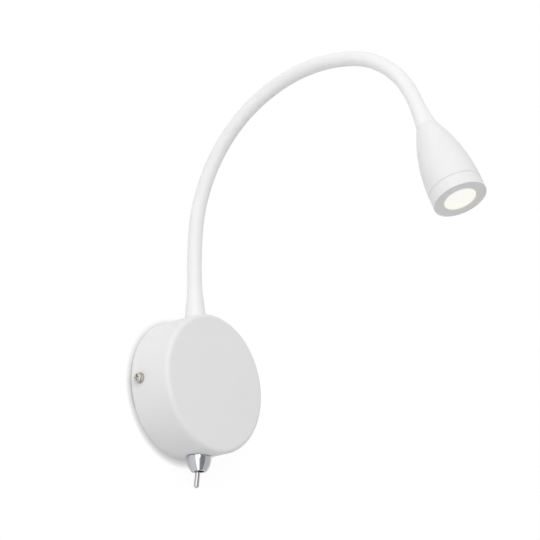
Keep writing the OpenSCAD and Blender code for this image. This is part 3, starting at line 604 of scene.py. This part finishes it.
def polished(name, colour, low, high, scale, draw, strength):
    """Bare or plated metal: tool marks that change its gloss."""
    darker, depth = 0.94, 0.00005
    material, tree, shader = blank_material(name)
    marks = use_group(tree, "Tool marks", Scale=scale, Draw=draw)
    shader.inputs["Metallic"].default_value = 1.0
    two_tone(tree, shader, marks.outputs["Marks"], colour, darker)
    rough_range(tree, shader, marks.outputs["Marks"], low, high)
    relief(tree, shader, marks.outputs["Height"], depth, strength)
    return material


def sleeve_finish(colour):
    """Soft sleeve over a wound core: the windings show as very faint rings along its length."""
    winding_pitch, winding_share = 0.0022, 0.12
    depth, strength = 0.00012, 0.12
    material, tree, shader = blank_material("white_sleeve")
    grain = use_group(tree, "Surface grain", Scale=1200.0)
    two_tone(tree, shader, grain.outputs["Patches"], colour, darker=0.975)
    rough_range(tree, shader, grain.outputs["Patches"], low=0.46, high=0.54)
    length = add(tree, "ShaderNodeSeparateXYZ", Vector=coordinates(tree, "UV"))
    turns = add_math(tree, "MULTIPLY", length.outputs["X"], 2 * math.pi / winding_pitch)
    wave = add_math(tree, "SINE", turns.outputs["Value"])
    both = add_math(tree, "MULTIPLY_ADD", wave.outputs["Value"], winding_share, grain.outputs["Height"])
    relief(tree, shader, both.outputs["Value"], depth, strength)
    return material


def glow_mask(tree, place, spot, start, end, most=1.0):
    """Share that grows smoothly from 0 at the distance start from a spot to the most at the distance end."""
    reach = add_vector_math(tree, "DISTANCE", place, spot)
    mask = add(tree, "ShaderNodeMapRange",
               Value=reach.outputs["Value"], From_Min=start, From_Max=end, To_Max=most)
    mask.interpolation_type = "SMOOTHSTEP"
    return mask.outputs["Result"]


def lens_finish(finishes, window):
    """Frosted window, lit from behind: white, with two warm spots over the chips and a warm rim."""
    path = neck_path()
    centre = path.head_points([[0.0, 0.0, window.distance]])[0]
    turn = Matrix.Rotation(path.angles[-1], 3, "X") @ Matrix.Rotation(window.chip_turn, 3, "Z")
    material, tree, shader = blank_material("lens_frost")
    place = add(tree, "ShaderNodeMapping",
                Vector=coordinates(tree, "Object"), Location=centre, Rotation=turn.to_euler())
    place.vector_type = "TEXTURE"
    flat = add_vector_math(tree, "MULTIPLY", place.outputs["Vector"], (1.0, 1.0, 0.0)).outputs["Vector"]
    spot = (window.spot_edge, window.spot_core)
    faint = glow_mask(tree, flat, (window.chip_offset, 0.0, 0.0), *spot, window.faint_spot)
    full = glow_mask(tree, flat, (-window.chip_offset, 0.0, 0.0), *spot)
    rim = glow_mask(tree, flat, (0.0, 0.0, 0.0), window.rim_start, window.rim_end)
    spots = add_math(tree, "MAXIMUM", faint, full)
    lit = mix_colours(tree, spots.outputs["Value"], opaque(finishes.glow), opaque(finishes.warm_glow))
    light = mix_colours(tree, rim, lit, opaque(finishes.rim_glow))
    tree.links.new(light, shader.inputs["Emission Color"])
    shader.inputs["Emission Strength"].default_value = 1.0
    grain = use_group(tree, "Surface grain", Scale=1800.0)
    two_tone(tree, shader, grain.outputs["Patches"], finishes.frost, darker=0.95)
    rough_range(tree, shader, grain.outputs["Patches"], low=0.4, high=0.5)
    relief(tree, shader, grain.outputs["Height"], depth=0.0001, strength=0.1)
    return material


def make_finishes(scene):
    """Names of the finishes made: one for each slot of the record, and one for the side screws."""
    finishes = scene.lamp_finishes
    colours = {**COLOUR, "white_paint": finishes.paint, "chrome": finishes.chrome,
               "lever_steel": finishes.lever, "screw_nickel": finishes.screw}
    for slot, values in COATS.items():
        coated(slot, colours[slot], **values)
    for slot, values in METALS.items():
        polished(slot, colours[slot], **values)
    sleeve_finish(finishes.sleeve)
    lens_finish(finishes, scene.lamp_window)
    return {*COATS, *METALS, "white_sleeve", "lens_frost"}


def finish(piece, slot):
    """Gives a piece a finish in place of its own."""
    piece.data.materials.clear()
    piece.data.materials.append(bpy.data.materials[f"finish_{slot}"])


# Studio

def empty_material(name):
    """New material without nodes, and its tree."""
    material = bpy.data.materials.new(name)
    material.use_nodes = True
    material.node_tree.nodes.clear()
    return material, material.node_tree


def stage_sheet(name, place, turn, grey, shade, tone, settings):
    """Plain pale sheet, seen from its front only. It shows as white, less what shadows take from it: shade is
    the share that the lamps light and tone the share that stays, and both darken where the lamp touches the
    sheet. Metal and glass show the sheet's own grey, brought up to white."""
    u = np.array([-0.5, 0.5]) * settings.sheet_size
    sheet = mesh_object(name, np.stack([*np.meshgrid(u, u), np.zeros((2, 2))], axis=-1), [[0, 1, 3, 2]])
    sheet.location, sheet.rotation_euler = place, turn
    material, tree = empty_material(name)
    path = tree.nodes.new("ShaderNodeLightPath")
    shown = add_math(tree, "MAXIMUM", path.outputs["Is Glossy Ray"], path.outputs["Is Transmission Ray"])
    mirrored = add(tree, "ShaderNodeMapRange", Value=shown.outputs["Value"], To_Max=settings.mirror_tone)
    sent = two_layers(tree, opaque((grey, grey, grey)), WHITE, mirrored.outputs["Result"])
    side = add(tree, "ShaderNodeCombineXYZ", **dict(zip("XYZ", settings.shadow_side)))
    near = add(tree, "ShaderNodeAmbientOcclusion",
               Distance=settings.shadow_reach, Normal=side.outputs["Vector"])
    left = add(tree, "ShaderNodeMapRange", Value=near.outputs["AO"], To_Min=1 - settings.shadow_depth)
    lit = add(tree, "ShaderNodeMapRange", Value=left.outputs["Result"], To_Max=shade)
    seen = two_layers(tree, lit.outputs["Result"], left.outputs["Result"], tone)
    ray = mix_shaders(tree, path.outputs["Is Camera Ray"], sent, seen)
    clear = tree.nodes.new("ShaderNodeBsdfTransparent")
    back = tree.nodes.new("ShaderNodeNewGeometry").outputs["Backfacing"]
    add(tree, "ShaderNodeOutputMaterial", Surface=mix_shaders(tree, back, ray, clear.outputs["BSDF"]))
    sheet.data.materials.append(material)


def reflection_card(name, start, end, strength, settings):
    """Tall curved card that only polished surfaces show: points at one radius from the switch's axis, at
    azimuths from start to end in degrees, and at heights from below the lamp to above it."""
    a = np.radians(np.linspace(start, end, CARD_COLUMNS))
    edge = np.stack([settings.card_radius * np.cos(a), settings.card_radius * np.sin(a) + SWITCH_Y], axis=-1)
    grid = np.stack([np.insert(edge, 2, z, axis=1) for z in (settings.card_bottom, settings.card_top)])
    i = np.arange(CARD_COLUMNS - 1)
    faces = np.stack([i + 1, i, i + CARD_COLUMNS, i + CARD_COLUMNS + 1], axis=-1)
    card = mesh_object(name, grid, faces.tolist())
    for rays in ("camera", "diffuse", "transmission", "volume_scatter", "shadow"):
        setattr(card, f"visible_{rays}", False)
    material, tree = empty_material(name)
    plain = add(tree, "ShaderNodeEmission", Color=WHITE, Strength=strength)
    add(tree, "ShaderNodeOutputMaterial", Surface=plain.outputs["Emission"])
    card.data.materials.append(material)


def even_world(settings):
    """Even light from all round that falls off steadily away from its bright side; the sky itself shows as
    white."""
    world = bpy.data.worlds.new("studio_world")
    bpy.context.scene.world = world
    world.use_nodes = True
    tree = world.node_tree
    tree.nodes.clear()
    path = tree.nodes.new("ShaderNodeLightPath")
    seen = path.outputs["Is Camera Ray"]
    for ray in ("Is Glossy Ray", "Is Transmission Ray"):
        seen = add_math(tree, "MAXIMUM", seen, path.outputs[ray]).outputs["Value"]
    bright_side = Vector(settings.bright_side).normalized()
    facing = add_vector_math(tree, "DOT_PRODUCT", coordinates(tree, "Generated"), bright_side)
    fall = add(tree, "ShaderNodeMapRange", Value=facing.outputs["Value"], From_Min=-1.0, From_Max=1.0,
               To_Min=settings.dim_level, To_Max=settings.bright_level)
    level = add(tree, "ShaderNodeMapRange", Value=seen, To_Min=fall.outputs["Result"], To_Max=1.0)
    sky = add(tree, "ShaderNodeBackground", Color=WHITE, Strength=level.outputs["Result"])
    add(tree, "ShaderNodeOutputWorld", Surface=sky.outputs["Background"])


def soft_light(settings):
    """Large round lamp that faces its aim."""
    data = bpy.data.lights.new("key_light", "AREA")
    data.shape, data.size, data.energy = "DISK", settings.key_size, settings.key_power
    lamp = bpy.data.objects.new("key_light", data)
    lamp.location = settings.key_place
    aim = Vector(settings.key_aim) - Vector(settings.key_place)
    lamp.rotation_euler = aim.to_track_quat("-Z", "Y").to_euler()
    bpy.context.scene.collection.objects.link(lamp)


def set_camera(scene):
    """Camera at the photograph's place: backwards is the direction from the lamp, then a roll about it."""
    view = scene.lamp_camera
    back = Vector((
        math.sin(view.azimuth) * math.cos(view.elevation),
        -math.cos(view.azimuth) * math.cos(view.elevation),
        math.sin(view.elevation),
    ))
    right = Vector((math.cos(view.azimuth), math.sin(view.azimuth), 0.0))
    up = back.cross(right)
    cosine, sine = math.cos(view.roll), math.sin(view.roll)
    right, up = cosine * right + sine * up, cosine * up - sine * right
    data = bpy.data.cameras.new("photo_camera")
    data.sensor_width, data.lens = view.sensor, view.lens
    data.clip_start, data.clip_end = view.nearest, view.farthest
    camera = bpy.data.objects.new("photo_camera", data)
    turn = Matrix((right, up, back)).transposed().to_4x4()
    camera.matrix_world = Matrix.Translation(Vector(view.place)) @ turn
    scene.collection.objects.link(camera)
    scene.camera = camera


# Operators

class MakeFinishes(bpy.types.Operator):
    """Builds the node groups and materials, and gives every solid its own"""
    bl_idname = "wall_lamp.finishes"
    bl_label = "Finishes"

    def execute(self, context):
        grain_group()
        marks_group()
        missing = sorted(set(SLOT_OF.values()) - make_finishes(context.scene))
        if missing:
            raise RuntimeError(f"no finish for {missing}")
        for name, node in NODES.items():
            finish(node, "screw_nickel" if name.startswith("side_screw") else SLOT_OF[name])
        return {"FINISHED"}


class MakeNeck(bpy.types.Operator):
    """Covers the neck with one smooth sleeve, in stretches that end at the links' middles"""
    bl_idname = "wall_lamp.neck"
    bl_label = "Neck sleeve"

    def execute(self, context):
        sizes = context.scene.lamp_neck
        path = neck_path()
        edge_drop = sizes.end_round * (1 - np.sin(np.linspace(0, np.pi / 2, sizes.round_points)))
        for link, start, end in stretches(path):
            start -= sizes.sunk if link == 1 else 0.0
            s = even_steps(start, end, sizes.ring_step)
            if link == LAST_LINK:
                s = np.concatenate([s[s < end - sizes.end_round], end - edge_drop])
            points, angles = path.at(s)
            across = np.tile([1.0, 0.0, 0.0], (len(s), 1))
            up = np.stack([np.zeros_like(s), np.cos(angles), np.sin(angles)], axis=-1)
            radius = np.maximum(flare_radius(s, sizes.root_flare, sizes),
                                flare_radius(path.total - s, sizes.head_flare, sizes))
            radius -= round_loss(path.total - s, sizes.end_round)
            outer = ring_grid(points, across, up, radius, sizes.sides)
            inner = ring_grid(points, across, up, np.full(len(s), sizes.bore), sizes.sides)
            grid = np.concatenate([outer, inner[::-1]])
            uv = ring_uv(np.concatenate([s, s[::-1]]), sizes.sides)
            piece = lamp_piece(f"neck_skin_{link:02d}", grid, grid_faces(len(grid), sizes.sides, True), uv)
            finish(piece, "white_sleeve")
            bend_between(piece, path, link)
            names = [f"neck_sleeve_{link:02d}"] + (["neck_sleeve_00"] if link == 1 else [])
            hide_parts(*names)
        return {"FINISHED"}


class MakeLead(bpy.types.Operator):
    """Carries the light's lead through the neck, in the same stretches as the sleeve"""
    bl_idname = "wall_lamp.lead"
    bl_label = "Light lead"

    def execute(self, context):
        sizes = context.scene.lamp_lead
        path = neck_path()
        for link, start, end in stretches(path):
            points, _ = path.at(even_steps(start, end, sizes.ring_step))
            if link == 1:
                points = np.vstack([smooth_path(np.array(CANOPY_ROUTE), sizes.route_steps), points])
            if link == LAST_LINK:
                points = np.vstack([points, path.head_points(HEAD_ROUTE)])
            across, up = path_frame(points)
            grid = ring_grid(points, across, up, np.full(len(points), sizes.radius), sizes.sides)
            run = np.concatenate([[0.0], np.cumsum(np.linalg.norm(np.diff(points, axis=0), axis=1))])
            first = np.arange(sizes.sides)
            caps = [first[::-1].tolist(), (first + (len(points) - 1) * sizes.sides).tolist()]
            faces = grid_faces(len(points), sizes.sides, False)
            piece = lamp_piece(f"light_lead_{link:02d}", grid, faces, ring_uv(run, sizes.sides), caps)
            finish(piece, "lead_grey")
            bend_between(piece, path, link)
            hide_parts("led_lead")
        return {"FINISHED"}


class MakeStudio(bpy.types.Operator):
    """Sets up the wall, the floor, the soft light and the camera"""
    bl_idname = "wall_lamp.studio"
    bl_label = "Studio"

    def execute(self, context):
        settings = context.scene.lamp_studio
        wall_place = (0.0, settings.wall_gap, settings.wall_middle)
        floor_place = (0.0, -settings.floor_middle, -settings.floor_drop)
        stage_sheet("studio_wall", wall_place, (math.radians(90), 0.0, 0.0), settings.wall_grey,
                    settings.wall_shade, settings.wall_tone, settings)
        stage_sheet("studio_floor", floor_place, (0.0, 0.0, 0.0), settings.floor_grey,
                    settings.floor_shade, settings.floor_tone, settings)
        even_world(settings)
        soft_light(settings)
        for name, (start, end, strength) in CARDS.items():
            reflection_card(name, start, end, strength, settings)
        set_camera(context.scene)
        context.scene.view_settings.view_transform = "Standard"
        return {"FINISHED"}


class LampPanel(bpy.types.Panel):
    """Lists the steps that dress the lamp"""
    bl_idname = "VIEW3D_PT_wall_lamp"
    bl_label = "Wall lamp"
    bl_space_type = "VIEW_3D"
    bl_region_type = "UI"
    bl_category = "Wall lamp"

    def draw(self, context):
        for step in STEPS:
            self.layout.operator(step.bl_idname)
        for name, group in GROUPS.items():
            box = self.layout.box()
            box.label(text=group.__doc__)
            for prop in group.__annotations__:
                box.prop(getattr(context.scene, name), prop)


STEPS = (MakeFinishes, MakeNeck, MakeLead, MakeStudio)
GROUPS = {
    "lamp_neck": NeckSizes,
    "lamp_lead": LeadSizes,
    "lamp_window": WindowSizes,
    "lamp_finishes": Finishes,
    "lamp_studio": StudioSettings,
    "lamp_camera": CameraSettings,
}


def register():
    """Makes the groups, the operators and the panel known, and gives the scene its groups."""
    for cls in (*GROUPS.values(), *STEPS, LampPanel):
        bpy.utils.register_class(cls)
    for name, group in GROUPS.items():
        setattr(bpy.types.Scene, name, PointerProperty(type=group))


def unregister():
    """Takes back what register did."""
    for name in GROUPS:
        delattr(bpy.types.Scene, name)
    for cls in reversed((*GROUPS.values(), *STEPS, LampPanel)):
        bpy.utils.unregister_class(cls)


def main():
    """Dresses the lamp step by step."""
    register()
    bpy.ops.wall_lamp.finishes()
    bpy.ops.wall_lamp.neck()
    bpy.ops.wall_lamp.lead()
    bpy.ops.wall_lamp.studio()


if __name__ == "__main__":
    main()
